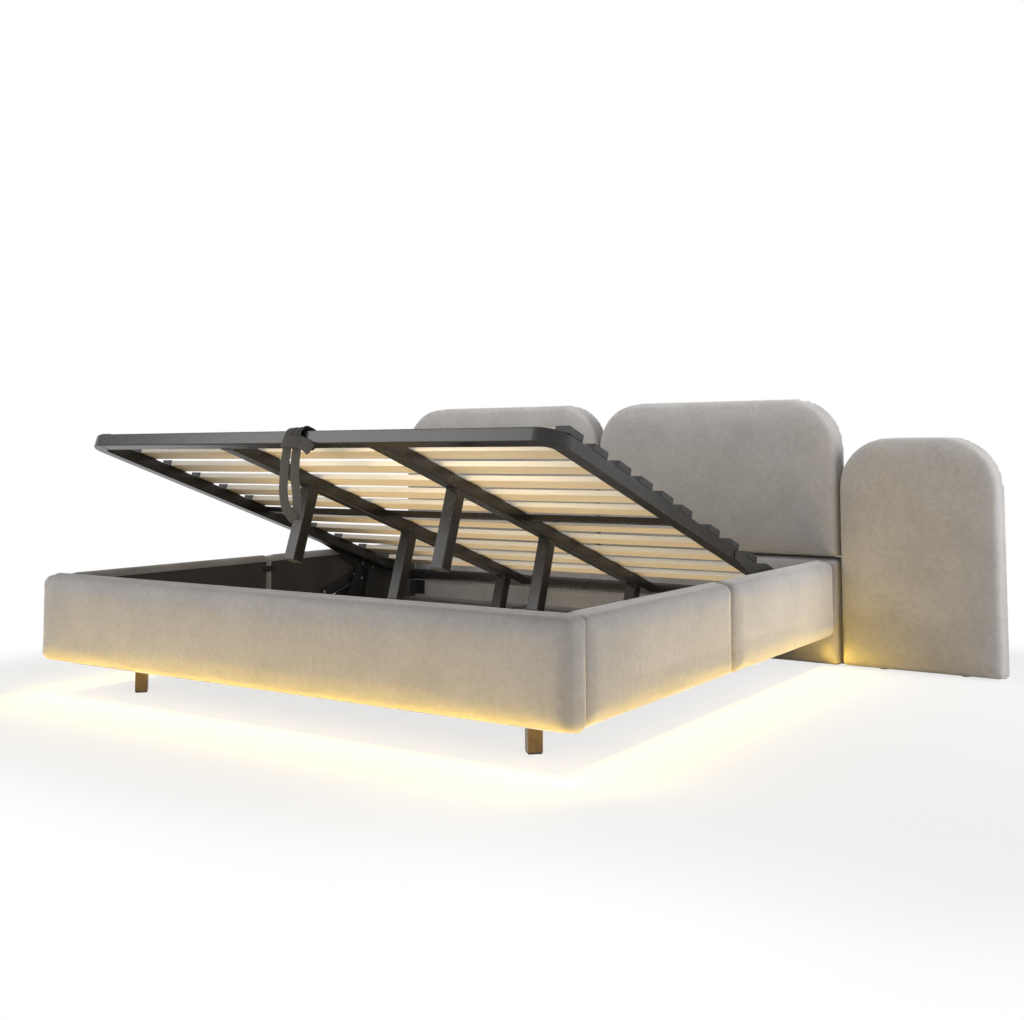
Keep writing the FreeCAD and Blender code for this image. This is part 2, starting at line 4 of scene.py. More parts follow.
import bmesh
import bpy
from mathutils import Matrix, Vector


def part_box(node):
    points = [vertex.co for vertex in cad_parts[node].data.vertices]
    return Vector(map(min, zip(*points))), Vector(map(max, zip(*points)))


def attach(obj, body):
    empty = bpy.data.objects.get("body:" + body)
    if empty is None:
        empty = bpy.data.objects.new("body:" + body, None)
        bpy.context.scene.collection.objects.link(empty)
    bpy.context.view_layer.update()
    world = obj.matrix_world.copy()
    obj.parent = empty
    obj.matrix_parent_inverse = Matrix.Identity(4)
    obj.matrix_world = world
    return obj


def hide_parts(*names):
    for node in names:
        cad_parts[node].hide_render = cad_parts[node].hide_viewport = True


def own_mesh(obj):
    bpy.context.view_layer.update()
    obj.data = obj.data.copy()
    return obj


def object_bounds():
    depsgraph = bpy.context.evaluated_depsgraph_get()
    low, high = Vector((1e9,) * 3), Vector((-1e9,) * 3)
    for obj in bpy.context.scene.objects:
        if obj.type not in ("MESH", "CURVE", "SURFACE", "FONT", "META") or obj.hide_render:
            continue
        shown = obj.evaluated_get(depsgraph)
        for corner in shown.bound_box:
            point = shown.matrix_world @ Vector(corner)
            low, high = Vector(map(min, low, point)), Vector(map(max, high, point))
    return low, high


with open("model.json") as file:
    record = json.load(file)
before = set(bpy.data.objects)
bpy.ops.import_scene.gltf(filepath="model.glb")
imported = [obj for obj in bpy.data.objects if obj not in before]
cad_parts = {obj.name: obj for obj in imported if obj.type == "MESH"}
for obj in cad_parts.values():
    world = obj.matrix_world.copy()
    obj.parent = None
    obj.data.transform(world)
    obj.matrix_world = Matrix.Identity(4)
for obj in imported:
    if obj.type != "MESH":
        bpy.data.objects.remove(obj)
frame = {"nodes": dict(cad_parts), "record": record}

cadBox = [list(corner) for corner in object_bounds()]
nodes = frame["nodes"]
scene = bpy.context.scene
print("frame loaded:", len(nodes), "nodes")


# shader kit: a sum on a Wire becomes a Math node
class Wire:
    def __init__(self, finish, socket):
        self.finish = finish
        self.socket = socket

    def calc(self, operation, *values, **settings):
        return self.finish.node("Math", dict(operation=operation, **settings), dict(enumerate(values)))

    def __add__(self, other):
        return self.calc("ADD", self, other)

    def __sub__(self, other):
        return self.calc("SUBTRACT", self, other)

    def __rsub__(self, other):
        return self.calc("SUBTRACT", other, self)

    def __mul__(self, other):
        return self.calc("MULTIPLY", self, other)

    def __truediv__(self, other):
        return self.calc("DIVIDE", self, other)

    def __rtruediv__(self, other):
        return self.calc("DIVIDE", other, self)

    __radd__ = __add__
    __rmul__ = __mul__

    def sine(self):
        return self.calc("SINE", self)

    def clamped(self):
        return self.calc("MULTIPLY", self, 1.0, use_clamp=True)


def rgba(value):
    return (*value, 1.0) if isinstance(value, tuple) and len(value) == 3 else value


# node tree of a material, or of a world
class Finish:
    def __init__(self, name, kind="materials"):
        self.block = getattr(bpy.data, kind).new(name)
        self.block.use_nodes = True
        self.tree = self.block.node_tree
        self.tree.nodes.clear()

    # any node: its settings first, then the values or links of its sockets
    def node(self, kind, settings=None, inputs=None, out=0):
        made = self.tree.nodes.new("ShaderNode" + kind)
        for key, value in (settings or {}).items():
            if key == "stops":
                self.setStops(made.color_ramp, value)
            else:
                setattr(made, key, value)
        for key, value in (inputs or {}).items():
            if isinstance(value, Wire):
                self.tree.links.new(value.socket, made.inputs[key])
            else:
                made.inputs[key].default_value = value
        return Wire(self, made.outputs[out]) if made.outputs else None

    def setStops(self, ramp, stops):
        while len(ramp.elements) < len(stops):
            ramp.elements.new(1.0)
        for element, (place, tint) in zip(ramp.elements, stops):
            element.position = place
            element.color = rgba(tint)

    # place on the piece in metres, turned first and then stretched
    def place(self, stretch=(1, 1, 1), turn=(0, 0, 0)):
        spot = self.node("TexCoord", out="Object")
        spot = self.node("Mapping", {"vector_type": "POINT"}, {"Vector": spot, "Rotation": turn})
        return self.node("VectorMath", {"operation": "MULTIPLY"}, {0: spot, 1: stretch})

    def along(self, place, axis):
        return self.node("SeparateXYZ", {}, {0: place}, axis)

    def noise(self, place, scale, detail, rough=0.5):
        sockets = {"Vector": place, "Scale": scale, "Detail": detail, "Roughness": rough}
        return self.node("TexNoise", {}, sockets)

    def flakes(self, place, scale):
        return self.node("TexVoronoi", {"feature": "F1"}, {"Vector": place, "Scale": scale}, "Color")

    def ramp(self, value, *stops):
        return self.node("ValToRGB", {"stops": stops}, {"Fac": value})

    # from 0 at low to 1 at high
    def rise(self, value, low, high):
        sockets = {"Value": value, "From Min": low, "From Max": high}
        return self.node("MapRange", {"interpolation_type": "SMOOTHSTEP"}, sockets)

    # the colour sockets of a Mix node are its 6 and 7, and the colour it gives is its 2
    def mix(self, share, first, second):
        return self.node("Mix", {"data_type": "RGBA"}, {0: share, 6: rgba(first), 7: rgba(second)}, 2)

    def bump(self, height, depth, strength):
        return self.node("Bump", {}, {"Height": height, "Distance": depth, "Strength": strength})

    def skin(self, **sockets):
        named = {key.replace("_", " "): rgba(value) for key, value in sockets.items()}
        self.output(self.node("BsdfPrincipled", {}, named))
        return self.block

    def output(self, shader):
        self.node("OutputMaterial", {}, {"Surface": shader})


# velour: short pile brushed down, with lighter patches where a hand went over it
velour = {"dark": (0.345, 0.331, 0.323), "mid": (0.40, 0.386, 0.378), "light": (0.47, 0.456, 0.449)}


def velourFinish():
    f = Finish("velour")
    patches = f.noise(f.place(), 7.0, 5.0, 0.6)
    strokes = f.noise(f.place((1, 1, 1.15)), 50.0, 5.0, 0.7)
    nap = f.noise(f.place((60, 60, 9)), 1.0, 3.0, 0.6)
    pile = f.noise(f.place((1, 1, 0.3)), 1100.0, 2.0)
    tone = patches * 0.38 + strokes * 0.42 + nap * 0.06 + pile * 0.14
    base = f.ramp(tone, (0.36, velour["dark"]), (0.5, velour["mid"]), (0.66, velour["light"]))
    height = nap * 0.08 + pile
    return f.skin(Base_Color=base, Roughness=patches * 0.15 + 0.8, Normal=f.bump(height, 0.0006, 0.6),
                  Sheen_Weight=0.55, Sheen_Roughness=0.38, Sheen_Tint=(1.0, 0.985, 0.96),
                  Specular_IOR_Level=0.2)


# powder coat of the deck's tubes, and the darker one of the lift
coats = {
    "deckCoat": {"low": (0.010, 0.0095, 0.009), "high": (0.018, 0.017, 0.016), "rough": 0.27},
    "blackCoat": {"low": (0.014, 0.014, 0.015), "high": (0.028, 0.028, 0.029), "rough": 0.42},
    "strutPaint": {"low": (0.010, 0.010, 0.011), "high": (0.016, 0.016, 0.017), "rough": 0.22},
}


def coatFinish(name):
    coat = coats[name]
    f = Finish(name)
    cloud = f.noise(f.place(), 9.0, 4.0, 0.6)
    grain = f.noise(f.place(), 1500.0, 2.0)
    base = f.ramp(cloud, (0.3, coat["low"]), (0.7, coat["high"]))
    rough = cloud * 0.05 + (coat["rough"] - 0.025)
    return f.skin(Base_Color=base, Roughness=rough, Normal=f.bump(grain, 0.0002, 0.2),
                  Specular_IOR_Level=0.42)


# layered birch of the slats, grain along the slat and plies through its edge
wood = {"early": (0.80, 0.69, 0.52), "late": (0.68, 0.55, 0.38), "edge": (0.84, 0.79, 0.69),
        "plies": 1000.0}
deckTilt = math.radians(18.4)


def woodFinish():
    f = Finish("slatWood")
    flat = (deckTilt, 0, 0)
    grain = f.noise(f.place((2.2, 42, 42), flat), 1.0, 5.0, 0.6)
    fibre = f.noise(f.place((14, 420, 420), flat), 1.0, 3.0, 0.6)
    sheets = f.noise(f.place((0.2, 7, 0.2), flat), 1.0, 1.0)
    tone = grain * 0.55 + fibre * 0.2 + sheets * 0.25
    face = f.ramp(tone, (0.35, wood["late"]), (0.62, wood["early"]))
    plies = (f.along(f.place((1, 1, 1), flat), "Z") * wood["plies"]).sine() * 0.5 + 0.5
    edge = f.mix(plies * 0.25, wood["edge"], wood["late"])
    normal = f.node("TexCoord", out="Normal")
    turned = {"Vector": normal, "Angle": deckTilt}
    tilted = f.node("VectorRotate", {"rotation_type": "X_AXIS"}, turned)
    onEdge = f.rise(f.along(tilted, "Y") * -1.0, 0.5, 0.9)
    base = f.mix(onEdge, face, edge)
    return f.skin(Base_Color=base, Roughness=0.62 - grain * 0.2, Normal=f.bump(fibre, 0.0003, 0.4))


# moulded plastics
plastics = {
    "holderPlastic": {"low": (0.012, 0.012, 0.012), "high": (0.026, 0.026, 0.026), "rough": 0.5},
    "glidePlastic": {"low": (0.015, 0.015, 0.015), "high": (0.03, 0.03, 0.03), "rough": 0.65},
    "driverPlastic": {"low": (0.68, 0.68, 0.66), "high": (0.76, 0.76, 0.74), "rough": 0.45},
}


def plasticFinish(name):
    plastic = plastics[name]
    f = Finish(name)
    cloud = f.noise(f.place(), 24.0, 3.0)
    spark = f.noise(f.place(), 2400.0, 1.0)
    base = f.ramp(cloud, (0.3, plastic["low"]), (0.7, plastic["high"]))
    return f.skin(Base_Color=base, Roughness=spark * 0.2 + plastic["rough"] - 0.1,
                  Normal=f.bump(spark, 0.00015, 0.4))


# bare and plated metals
metals = {
    "zincPlate": {"low": (0.42, 0.42, 0.43), "high": (0.62, 0.62, 0.63), "rough": 0.34, "metal": 1.0},
    "drawnAluminium": {"low": (0.6, 0.6, 0.61), "high": (0.76, 0.76, 0.77), "rough": 0.38, "metal": 1.0},
    "rodChrome": {"low": (0.55, 0.55, 0.56), "high": (0.66, 0.66, 0.67), "rough": 0.12, "metal": 1.0},
    "legBronze": {"low": (0.13, 0.08, 0.033), "high": (0.21, 0.135, 0.056), "rough": 0.34, "metal": 0.75},
}


def metalFinish(name):
    metal = metals[name]
    f = Finish(name)
    cloud = f.noise(f.place(), 30.0, 4.0, 0.6)
    brushed = f.noise(f.place((900, 900, 24)), 1.0, 2.0)
    base = f.ramp(cloud * 0.6 + brushed * 0.4, (0.35, metal["low"]), (0.65, metal["high"]))
    rough = brushed * 0.16 + (metal["rough"] - 0.08)
    return f.skin(Base_Color=base, Metallic=metal["metal"], Roughness=rough,
                  Normal=f.bump(brushed, 0.0001, 0.3))


# boards: dark hardboard liner, grey storage floor, bare chipboard
boards = {
    "linerBoard": {"low": (0.034, 0.031, 0.029), "high": (0.062, 0.057, 0.053), "scale": 260.0, "rough": 0.62},
    "floorBoard": {"low": (0.10, 0.098, 0.095), "high": (0.17, 0.166, 0.16), "scale": 180.0, "rough": 0.7},
    "chipboard": {"low": (0.36, 0.25, 0.145), "high": (0.62, 0.47, 0.30), "scale": 240.0, "rough": 0.8},
}


def boardFinish(name):
    board = boards[name]
    f = Finish(name)
    chips = f.along(f.flakes(f.place((0.45, 1, 1)), board["scale"]), "X")
    cloud = f.noise(f.place(), 12.0, 4.0)
    base = f.ramp(chips * 0.6 + cloud * 0.4, (0.15, board["low"]), (0.85, board["high"]))
    return f.skin(Base_Color=base, Roughness=cloud * 0.1 + board["rough"] - 0.05,
                  Normal=f.bump(chips, 0.0003, 0.3))


# charcoal webbing: ribs of a tight twill
webbing = {"low": (0.012, 0.0115, 0.011), "high": (0.031, 0.0298, 0.0285), "rib": 0.0019}


def webbingFinish():
    f = Finish("webbing")
    place = f.place()
    turn = 2 * math.pi / webbing["rib"]
    ribs = ((f.along(place, "X") + f.along(place, "Z") * 0.5) * turn).sine() * 0.5 + 0.5
    picks = ((f.along(place, "Z") - f.along(place, "X") * 0.35) * turn).sine() * 0.5 + 0.5
    fuzz = f.noise(place, 700.0, 3.0, 0.7)
    weave = ribs * 0.45 + picks * 0.25 + fuzz * 0.3
    base = f.ramp(weave, (0.2, webbing["low"]), (0.8, webbing["high"]))
    return f.skin(Base_Color=base, Roughness=fuzz * 0.15 + 0.72, Normal=f.bump(weave, 0.0004, 0.8),
                  Sheen_Weight=0.08, Sheen_Roughness=0.5)


# opal strip, lit warm
glow = {"opal": (0.95, 0.80, 0.52), "lit": (1.0, 0.72, 0.30), "pale": (1.0, 0.78, 0.40), "strength": 2.5}


def glowFinish():
    f = Finish("warmGlow")
    spots = f.noise(f.place((60, 60, 1)), 1.0, 1.0)
    lit = f.mix(spots * 0.3, glow["lit"], glow["pale"])
    return f.skin(Base_Color=glow["opal"], Roughness=spots * 0.1 + 0.4, Emission_Color=lit,
                  Emission_Strength=glow["strength"])


finishes = {"velour": velourFinish(), "slat_wood": woodFinish(), "webbing": webbingFinish(),
            "light_diffuser": glowFinish()}
slotFinish = {
    "deck_steel": ("deckCoat", coatFinish), "black_steel": ("blackCoat", coatFinish),
    "strut_black": ("strutPaint", coatFinish), "dark_plastic": ("holderPlastic", plasticFinish),
    "felt_plastic": ("glidePlastic", plasticFinish), "driver_plastic": ("driverPlastic", plasticFinish),
    "zinc_steel": ("zincPlate", metalFinish), "light_channel": ("drawnAluminium", metalFinish),
    "rod_chrome": ("rodChrome", metalFinish), "leg_bronze": ("legBronze", metalFinish),
    "liner_board": ("linerBoard", boardFinish), "floor_board": ("floorBoard", boardFinish),
    "board": ("chipboard", boardFinish),
}
for slotName, (name, maker) in slotFinish.items():
    finishes[slotName] = maker(name)
print("finishes made:", len(finishes))


# a smooth visible piece that takes its slot's finish and moves with its body
def newPiece(name, mesh, slotName, body):
    piece = bpy.data.objects.new(name, mesh)
    scene.collection.objects.link(piece)
    mesh.materials.clear()
    mesh.materials.append(finishes[slotName])
    mesh.polygons.foreach_set("use_smooth", [True] * len(mesh.polygons))
    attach(piece, body)
    return piece


def meshOf(name, points, faces):
    mesh = bpy.data.meshes.new(name)
    mesh.from_pydata([tuple(p) for p in points], [], faces)
    solid = bmesh.new()
    solid.from_mesh(mesh)
    bmesh.ops.recalc_face_normals(solid, faces=solid.faces)
    solid.to_mesh(mesh)
    solid.free()
    return mesh


# skin between rings of as many points each, closed by a cap at both ends
def loft(rings, closed=False):
    count = len(rings[0])
    points = [p for ring in rings for p in ring]
    faces = []
    for i in range(len(rings) if closed else len(rings) - 1):
        a, b = i * count, (i + 1) % len(rings) * count
        faces += [(a + k, a + (k + 1) % count, b + (k + 1) % count, b + k) for k in range(count)]
    if not closed:
        faces += [tuple(range(count)), tuple(range(len(points) - count, len(points)))]
    return points, faces


# padded covers: a slab a little small, remeshed and blown up tight by the cloth solver
headPad = {"soft": 0.020, "low": 0.020, "high": 0.200, "cap": 0.007, "lap": 0.0, "bed": 0.003,
           "grow": 0.0017}
pads = {
    "voxel": 0.010, "shy": 0.004, "pressure": 4.0, "frames": 16, "quality": 4, "arc": 8,
    "backSoft": 0.008, "heldBack": 0.014, "backSkin": 0.002, "smoothing": 5,
    "rail": {"soft": 0.028, "low": 0.034, "high": 0.034, "cap": 0.0055, "lap": 0.010, "bed": 0.006,
             "grow": 0.0},
    "base": {"soft": 0.012, "low": 0.016, "high": 0.012, "cap": 0.006, "lap": 0.0, "bed": 0.003,
             "grow": 0.0017, "drop": 0.003},
    "pad": headPad,
    "panel": dict(headPad, drop=0.003),
}
covers = {
    "foot_rail": ("rail", "front"),
    "left_front_rail": ("rail", "left"), "left_rear_rail": ("rail", "left"),
    "right_front_rail": ("rail", "right"), "right_rear_rail": ("rail", "right"),
    "headboard_base": ("base", "front"), "left_head_pad": ("pad", "front"),
    "right_head_pad": ("pad", "front"), "side_head_panel": ("panel", "front"),
}


# width, height and depth of a cover from its box, and the way from those to the frame
def coverAxes(name, facing):
    low, high = [Vector(c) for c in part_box(name + "_cover")]
    size = high - low
    if facing == "front":
        return (size.x, size.z, size.y), low, Vector((1, 0, 0)), Vector((0, 1, 0))
    onRight = facing == "right"
    start = Vector((high.x if onRight else low.x, low.y, low.z))
    return (size.y, size.z, size.x), start, Vector((0, 1, 0)), Vector((-1 if onRight else 1, 0, 0))


# outline of the slab at one depth, drawn in by the inset
def roundedRing(width, height, low, high, inset, depth):
    ring = []
    corners = ((width, 0, low, -90), (width, height, high, 0), (0, height, high, 90), (0, 0, low, 180))
    for x, z, radius, start in corners:
        radius = max(radius - inset, 0.001)
        cx = min(max(x, inset + radius), width - inset - radius)
        cz = min(max(z, inset + radius), height - inset - radius)
        for i in range(pads["arc"] + 1):
            a = math.radians(start + 90 * i / pads["arc"])
            ring.append((cx + radius * math.cos(a), cz + radius * math.sin(a), depth))
    return ring


# the slab from front to back: a soft front edge and a tighter one behind
def slabRings(width, height, depth, kind):
    shy, soft, back, arc = pads["shy"], kind["soft"], pads["backSoft"], pads["arc"]
    turns = [math.radians(90 * i / arc) for i in range(arc + 1)]
    profile = [(shy + soft * (1 - math.sin(a)), shy + soft * (1 - math.cos(a))) for a in turns]
    profile += [(shy + back * (1 - math.cos(a)), depth - back * (1 - math.sin(a))) for a in turns]
    return [roundedRing(width, height, kind["low"], kind["high"], inset, d) for inset, d in profile]


def evaluatedMesh(piece):
    graph = bpy.context.evaluated_depsgraph_get()
    return bpy.data.meshes.new_from_object(piece.evaluated_get(graph))


# the slab in even quads, its back held
def coverBlank(name, kindName, facing):
    kind = pads[kindName]
    size, start, across, inward = coverAxes(name, facing)
    rings = slabRings(*size, kind)
    placed = [[start + across * u + Vector((0, 0, v)) + inward * d for u, v, d in ring]
              for ring in rings]
    blank = bpy.data.objects.new(name + "_blank", meshOf(name + "_blank", *loft(placed)))
    scene.collection.objects.link(blank)
    remesh = blank.modifiers.new("even quads", "REMESH")
    remesh.mode = "VOXEL"
    remesh.voxel_size = pads["voxel"]
    even = evaluatedMesh(blank)
    blank.modifiers.clear()
    blank.data = even
    held = blank.vertex_groups.new(name="held")
    for v in even.vertices:
        if (v.co - start).dot(inward) > size[2] - pads["heldBack"]:
            held.add([v.index], 1.0, "REPLACE")
    return blank


def addCloth(blank):
    cloth = blank.modifiers.new("swell", "CLOTH")
    cloth.settings.quality = pads["quality"]
    cloth.settings.use_pressure = True
    cloth.settings.uniform_pressure_force = pads["pressure"]
    cloth.settings.effector_weights.gravity = 0.0
    cloth.settings.vertex_group_mass = "held"
    cloth.point_cache.frame_start = 1
    cloth.point_cache.frame_end = pads["frames"]


def swell(blanks):
    for blank in blanks.values():
        addCloth(blank)
    for number in range(1, pads["frames"] + 1):
        scene.frame_set(number)
    swollen = {name: evaluatedMesh(blank) for name, blank in blanks.items()}
    scene.frame_set(1)
    return swollen


# swelling draws the edges in, so the cover is stretched out to its size again
def stretchOut(solid, start, size, ways, grow, drop):
    for way, reach, extra, under in zip(ways, size, (grow, grow, 0.0), (0.0, drop, 0.0)):
        spots = [(v.co - start).dot(way) for v in solid.verts]
        low, high = min(spots), max(spots)
        gain = (reach + 2 * extra + under) / (high - low)
        for v, spot in zip(solid.verts, spots):
            v.co += way * ((spot - low) * gain - extra - under - spot)


# swollen points no further than the cap, and a bed for the board let into the back
def finishCover(name, blank, swollen):
    kindName, facing = covers[name]
    kind = pads[kindName]
    size, start, across, inward = coverAxes(name, facing)
    low, high = [Vector(c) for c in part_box(name + "_core")]
    mesh = blank.data
    for rest, moved in zip(mesh.vertices, swollen.vertices):
        move = moved.co - rest.co
        if move.length > kind["cap"]:
            move *= kind["cap"] / move.length
        rest.co = rest.co + move
    solid = bmesh.new()
    solid.from_mesh(mesh)
    soft = [v for v in solid.verts if (v.co - start).dot(inward) < size[2] - pads["heldBack"]]
    for i in range(pads["smoothing"]):
        bmesh.ops.smooth_vert(solid, verts=soft, factor=0.5, use_axis_x=True, use_axis_y=True,
                              use_axis_z=True)
    up = Vector((0, 0, 1))
    stretchOut(solid, start, size, (across, up, inward), kind["grow"], kind.get("drop", 0.0))
    reach = [sorted(((low - start).dot(way), (high - start).dot(way))) for way in (across, up)]
    for v in solid.verts:
        spot = v.co - start
        inside = all(r[0] - kind["lap"] < spot.dot(way) < r[1] + kind["lap"]
                     for r, way in zip(reach, (across, up)))
        if inside and spot.dot(inward) > size[2] - pads["backSkin"]:
            v.co -= inward * kind["bed"]
    solid.to_mesh(mesh)
    solid.free()
    bpy.data.objects.remove(blank)
    piece = newPiece(name + "_velour", mesh, "velour", "bed_base")
    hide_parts(name + "_cover")


blanks = {name: coverBlank(name, *spec) for name, spec in covers.items()}
print("cover blanks:", sum(len(b.data.polygons) for b in blanks.values()), "faces")
swollen = swell(blanks)
for name, blank in blanks.items():
    finishCover(name, blank, swollen[name])
print("covers swollen")


# deck axes in the open pose: across the bed, along it towards the head, and out of the slats
across = Vector((1, 0, 0))
along = Vector((0, math.cos(deckTilt), -math.sin(deckTilt)))
out = Vector((0, math.sin(deckTilt), math.cos(deckTilt)))
deckAxes = (across, along, out)
bedAxes = (Vector((1, 0, 0)), Vector((0, 1, 0)), Vector((0, 0, 1)))
bedX = sum(c[0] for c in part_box("foot_rail_cover")) / 2


def fromDeck(x, a, o):
    return across * x + along * a + out * o


# corner lists of a node's separate solids
def solidsOf(name):
    shape = bmesh.new()
    shape.from_mesh(nodes[name].data)
    bmesh.ops.remove_doubles(shape, verts=shape.verts, dist=1e-5)
    left, groups = set(shape.verts), []
    while left:
        group, edge = set(), [left.pop()]
        while edge:
            v = edge.pop()
            group.add(v)
            fresh = [e.other_vert(v) for e in v.link_edges if e.other_vert(v) in left]
            left.difference_update(fresh)
            edge += fresh
        groups.append([v.co.copy() for v in group])
    shape.free()
    return groups


# middle and half sizes of each solid along three axes
def boxesOf(name, axes):
    boxes = []
    for points in solidsOf(name):
        reach = [[p.dot(way) for p in points] for way in axes]
        spans = [(min(r), max(r)) for r in reach]
        boxes.append(([(lo + hi) / 2 for lo, hi in spans], [(hi - lo) / 2 for lo, hi in spans]))
    return boxes


# points and faces gathered for one mesh
class Shape:
    def __init__(self):
        self.points, self.faces = [], []

    def add(self, points, faces):
        first = len(self.points)
        self.points += points
        self.faces += [tuple(first + i for i in face) for face in faces]

    def mesh(self, name):
        return meshOf(name, self.points, self.faces)


# strap on the foot tube, in millimetres from the knot: across, and up or down
strap = {
    "width": 38.0, "thick": 2.4, "lap": 1.6, "keep": 0.4, "rows": 10,
    "left": [(-11, 20), (-12, -9), (-18, -42), (-21, -72), (-24, -108), (-25, -132), (-22, -160),
             (-14, -186), (-1, -204), (11, -216), (20, -223), (24, -229)],
    "right": [(27, 20), (25.5, -12), (21.5, -42), (20.5, -72), (20.5, -102), (24, -122), (28, -147),
              (30, -174), (31, -195), (31, -210), (30, -227)],
}
# its knot: turns as place across, size and flare, the tail as across, share of the bulge, and up
knot = {
    "bulge": 8.0, "wander": 3.0, "wave": 90.0, "turnRows": 5,
    "turns": ((-7.0, 1.06, 0.0), (13.0, 1.04, 0.1), (29.5, 1.0, 0.45)),
    "bandUp": 1.5, "bandWidth": 39.0, "bandAt": 12.0, "bandReach": 46.0, "bandOut": 13.0, "bandSlope": 0.08,
    "tail": ((8, 0.6, 14), (34, 1.0, 6), (60, 1.5, -4), (81, 1.5, -13), (97, 1.0, -27)),
    "tailWidth": 39.0, "tailRows": 6,
}


def mm(value):
    return value / 1000


# smooth way through the points, a few rows to each
def smoothWay(points, rows, loop=False):
    count = len(points)
    way = []
    for i in range(count if loop else count - 1):
        pick = [(i + k) % count if loop else min(max(i + k, 0), count - 1) for k in (-1, 0, 1, 2)]
        a, b, c, d = [points[k] for k in pick]
        for j in range(rows):
            t = j / rows
            way.append(0.5 * (2 * b + (c - a) * t + (2 * a - 5 * b + 4 * c - d) * t * t
                              + (3 * b - a - 3 * c + d) * t * t * t))
    return way if loop else way + [points[-1]]


# rounded flat section, with points kept near its edges so that the flats stay flat
def strapSection(width, thick):
    w, h, e = width / 2, thick / 2, thick * 0.35
    half = [(-w + 3 * e, -h), (0, -h), (w - 3 * e, -h), (w - e, -h), (w, -h + e)]
    return half + [(-x, -y) for x, y in half]


# sections along the way, their flat turned to faceWay, which may depend on the point
def strapRings(way, faceWay, width, thick, loop=False):
    rings = []
    for i, p in enumerate(way):
        before = way[i - 1] if i or loop else p
        after = way[(i + 1) % len(way)] if i + 1 < len(way) or loop else p
        run = (after - before).normalized()
        face = faceWay(p) if callable(faceWay) else faceWay
        side = run.cross(face).normalized()
        face = side.cross(run)
        rings.append([p + side * x + face * y for x, y in strapSection(width, thick)])
    return rings


def hangStrap():
    low, high = [Vector(c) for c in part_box("pull_strap")]
    top = Vector(((low.x + high.x) / 2, (low.y + high.y) / 2, high.z))
    lap = mm(strap["lap"])
    shape = Shape()
    for key, depth in (("left", -lap), ("right", lap)):
        points = [top + Vector((mm(x), depth, mm(z))) for x, z in strap[key]]
        way = smoothWay(points, strap["rows"])
        shape.add(*loft(strapRings(way, Vector((0, -1, 0)), mm(strap["width"]), mm(strap["thick"]))))
    piece = newPiece("pull_strap_webbing", shape.mesh("pull_strap_webbing"), "webbing", "platform")
    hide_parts("pull_strap")
    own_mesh(piece)


# hitch: slack turns over the tube, a band across the strands and a loose tail
def tieKnot():
    middle, half = boxesOf("foot_tube", deckAxes)[0]
    x = sum(c[0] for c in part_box("pull_strap")) / 2
    depth, height = half[1], half[2]
    thick, bulge, lift = mm(strap["thick"]), mm(knot["bulge"]), mm(knot["bandOut"])
    front, back, top = -depth - thick, depth + thick, height + thick
    shape = Shape()

    def at(dx, a, o):
        return fromDeck(x + dx, middle[1] + a, middle[2] + o)

    turn = [(front - bulge * 0.5, 0), (front - bulge * 0.6, top * 0.6), (front * 0.7, top + bulge * 0.75),
            (0, top + bulge), (back * 0.75, top + bulge * 0.5), (back, top * 0.4), (back, -top * 0.7),
            (back * 0.5, -top), (front * 0.6, -top), (front, -top * 0.6)]
    for shift, size, flare in knot["turns"]:
        points = [at(mm(shift) + mm(knot["wander"]) * math.sin(a * knot["wave"]), a * size, o * size)
                  for a, o in turn]
        way = smoothWay(points, knot["turnRows"], loop=True)
        hub = at(mm(shift), 0, 0)
        rings = strapRings(way, lambda p: (p - hub).normalized() - across * flare, mm(strap["width"]), thick,
                           loop=True)
        shape.add(*loft(rings, closed=True))
    o = mm(knot["bandUp"]) - height
    left, reach = mm(knot["bandAt"]), mm(knot["bandReach"])
    ring = [(-reach, back * 0.2), (-reach, front * 0.8), (-reach * 0.85, front - lift * 0.7), (0, front - lift),
            (reach * 0.85, front - lift * 0.8), (reach, front * 0.8), (reach, back * 0.2)]
    way = smoothWay([at(left + dx, a, o - dx * knot["bandSlope"]) for dx, a in ring], knot["turnRows"])
    core = at(left, 0, o)
    shape.add(*loft(strapRings(way, lambda p: p - core, mm(knot["bandWidth"]), thick)))
    tail = [at(mm(dx), front - bulge * share, mm(up) - height) for dx, share, up in knot["tail"]]
    shape.add(*loft(strapRings(smoothWay(tail, knot["tailRows"]), -along, mm(knot["tailWidth"]), thick)))
    piece = newPiece("strap_knot_webbing", shape.mesh("strap_knot_webbing"), "webbing", "platform")
    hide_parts("strap_knot")


hangStrap()
tieKnot()
print("strap tied")


# bolt and screw heads: domed, with a socket of that many sides
heads = {
    "bolt": {"sides": 6, "high": 0.0042, "socket": 0.46}, "screw": {"sides": 4, "high": 0.0022, "socket": 0.5},
    "around": 24, "screwRadius": 0.0045, "edge": 0.011, "leaf": 0.004,
}


# rings of a head from its rim over the dome and down into the socket
def headRings(spot, way, radius, kind):
    spec = heads[kind]
    side = way.orthogonal().normalized()
    other = way.cross(side)
    step = 2 * math.pi / heads["around"]
    profile = [(1.0, 0.0), (1.0, 0.45), (0.9, 0.78), (0.7, 0.97), (0.6, 1.0)]
    rings = [[(r, h)] * heads["around"] for r, h in profile]
    wedge = 2 * math.pi / spec["sides"]
    flat = [spec["socket"] * math.cos(wedge / 2) / math.cos((k * step) % wedge - wedge / 2)
            for k in range(heads["around"])]
    rings += [[(f, 1.0) for f in flat], [(f * 0.96, 0.35) for f in flat]]
    return [[spot + side * (r * radius * math.cos(k * step)) + other * (r * radius * math.sin(k * step))
             + way * (h * spec["high"]) for k, (r, h) in enumerate(ring)] for ring in rings]


